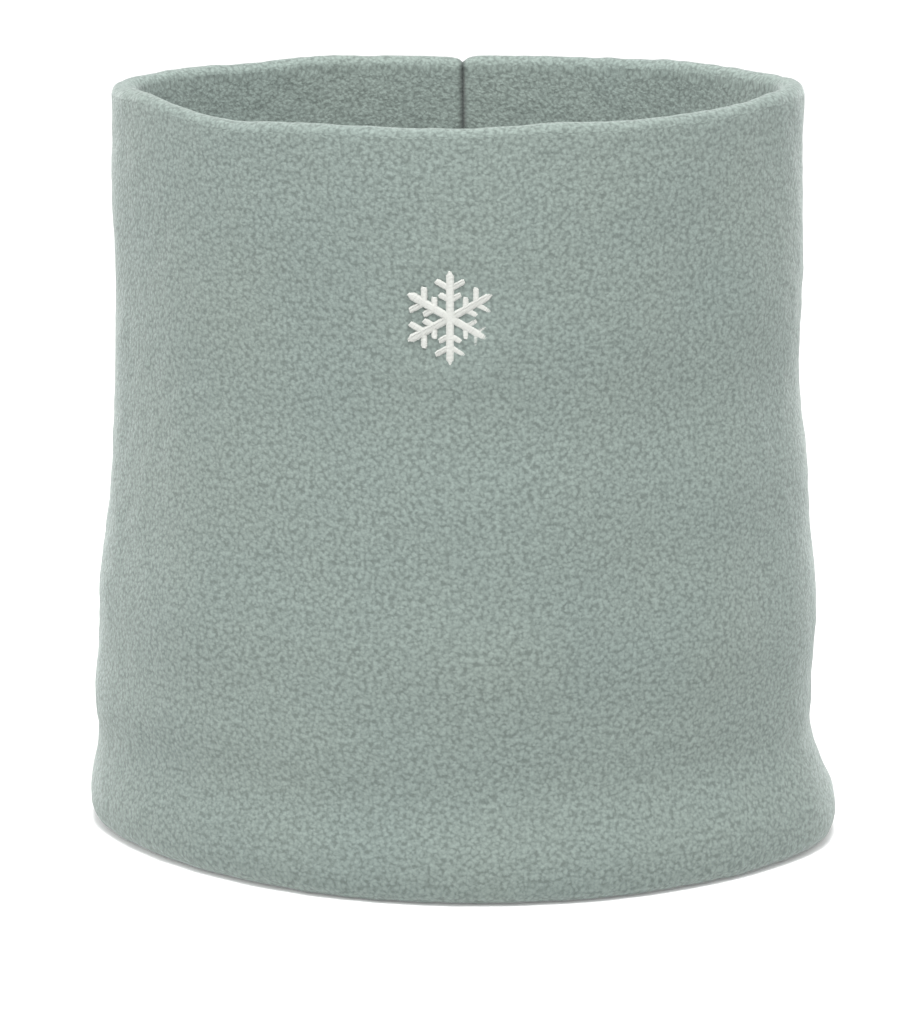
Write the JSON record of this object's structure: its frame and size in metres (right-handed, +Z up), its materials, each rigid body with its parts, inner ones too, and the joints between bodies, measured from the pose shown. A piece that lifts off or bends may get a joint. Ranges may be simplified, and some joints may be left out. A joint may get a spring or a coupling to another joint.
{
  "type": "neck gaiter",
  "caption": "Open fleece tube of two layers, worn round the neck, with a rolled rim, a full hem, a back seam, an embroidered snow crystal and a folded care label.",
  "frame": {"origin": "middle of the tube, on the surface that its hem rests on", "axes": "+Z up through the neck opening, the embroidered front faces -Y, +X to the right of someone facing the front"},
  "size_m": [0.2314, 0.171, 0.2315],
  "materials": {
    "shell_fleece": "matte",
    "lining_fleece": "matte",
    "sewing_thread": "satin",
    "satin_thread": "satin",
    "lower_thread": "satin",
    "stabiliser": "matte",
    "label_ribbon": "satin"
  },
  "bodies": {
    "gaiter": {"outer_shell": "shell_fleece", "lining": "lining_fleece", "shell_back_seam_thread": "sewing_thread", "lining_back_seam_thread": "sewing_thread", "rim_join_thread": "sewing_thread", "hem_join_thread": "sewing_thread", "closing_stitches": "sewing_thread", "motif_stitches": "satin_thread", "motif_backing": "stabiliser", "motif_lower_stitches": "lower_thread"},
    "care_label": {"care_label": "label_ribbon"}
  },
  "joints": [
    {"name": "care_label_flip", "type": "hinge", "parent": "gaiter", "child": "care_label", "pos_m": [0.002, 0.07089, 0.077], "axis": [0, 0, -1], "range_deg": [0, 150]}
  ]
}
